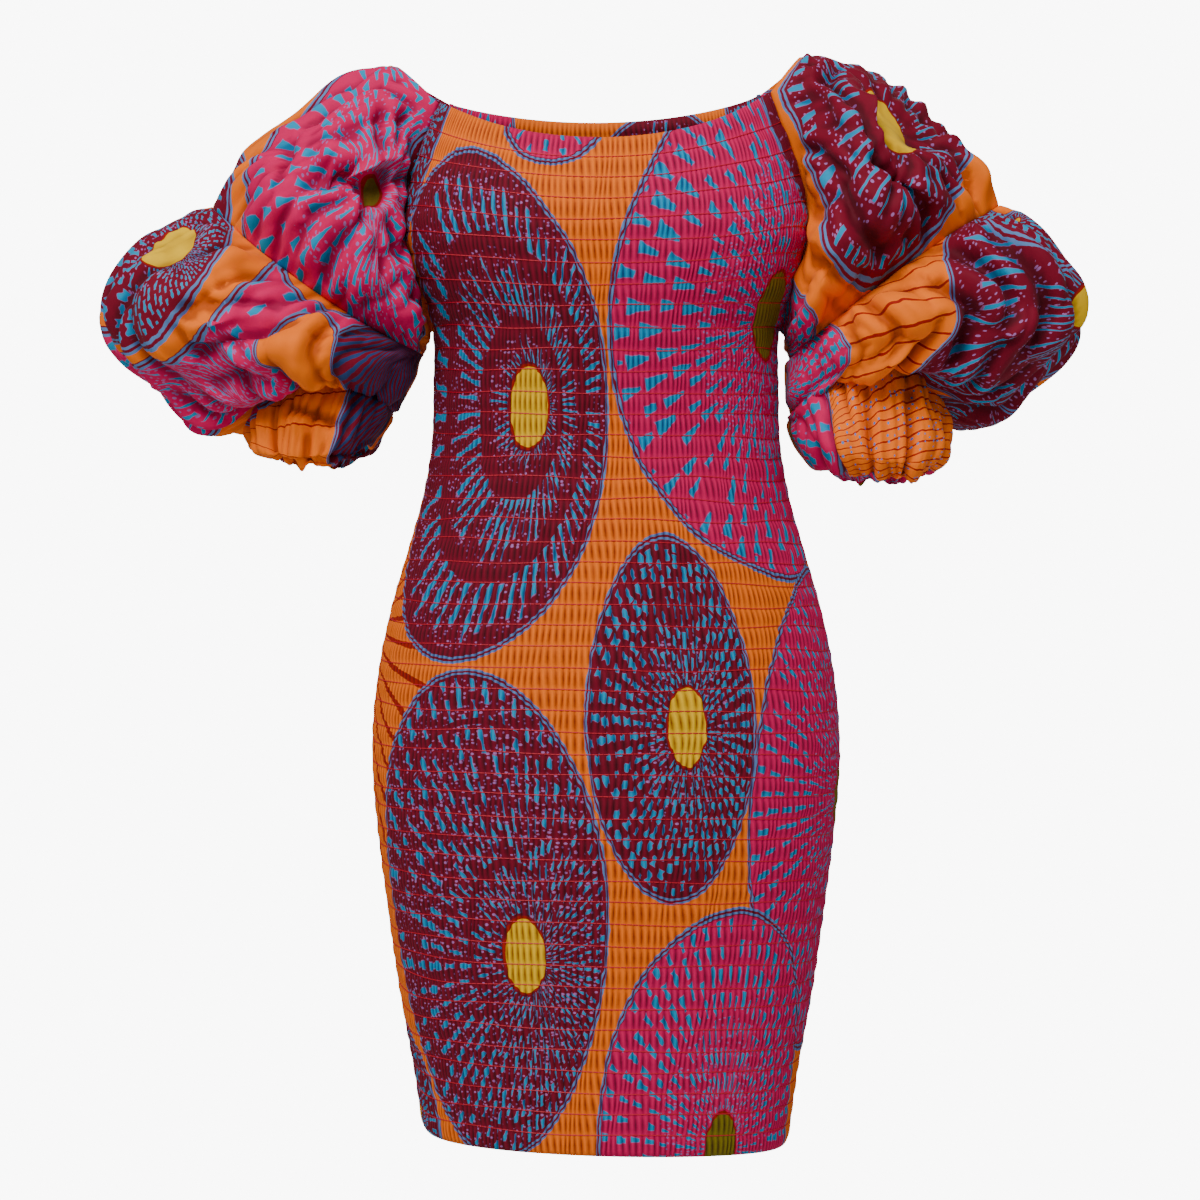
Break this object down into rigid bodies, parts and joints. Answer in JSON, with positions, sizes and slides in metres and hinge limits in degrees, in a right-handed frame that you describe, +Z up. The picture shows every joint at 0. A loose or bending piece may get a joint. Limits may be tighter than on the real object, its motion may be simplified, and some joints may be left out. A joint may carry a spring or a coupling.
{
  "type": "ankara wax print dress",
  "caption": "Off-the-shoulder mini dress in bold wax-print cotton, body shirred all over, with full sleeves gathered into puffs, held in its worn shape.",
  "frame": {"origin": "middle of the neck opening, where the dress grips the wearer below the shoulders", "axes": "+Z up, -Y the front, +X the wearer's left"},
  "size_m": [0.7669, 0.2523, 0.8491],
  "materials": {
    "front_panel": "matte printed cotton",
    "back_panel": "matte printed cotton",
    "right_sleeve_upper_puff": "matte printed cotton",
    "right_sleeve_middle_puff": "matte printed cotton",
    "right_sleeve_lower_puff": "matte printed cotton",
    "left_sleeve_upper_puff": "matte printed cotton",
    "left_sleeve_middle_puff": "matte printed cotton",
    "left_sleeve_lower_puff": "matte printed cotton"
  },
  "bodies": {
    "root": {"front_panel": "front_panel", "back_panel": "back_panel", "right_sleeve_upper_puff": "right_sleeve_upper_puff", "right_sleeve_middle_puff": "right_sleeve_middle_puff", "right_sleeve_lower_puff": "right_sleeve_lower_puff", "left_sleeve_upper_puff": "left_sleeve_upper_puff", "left_sleeve_middle_puff": "left_sleeve_middle_puff", "left_sleeve_lower_puff": "left_sleeve_lower_puff"}
  },
  "joints": []
}
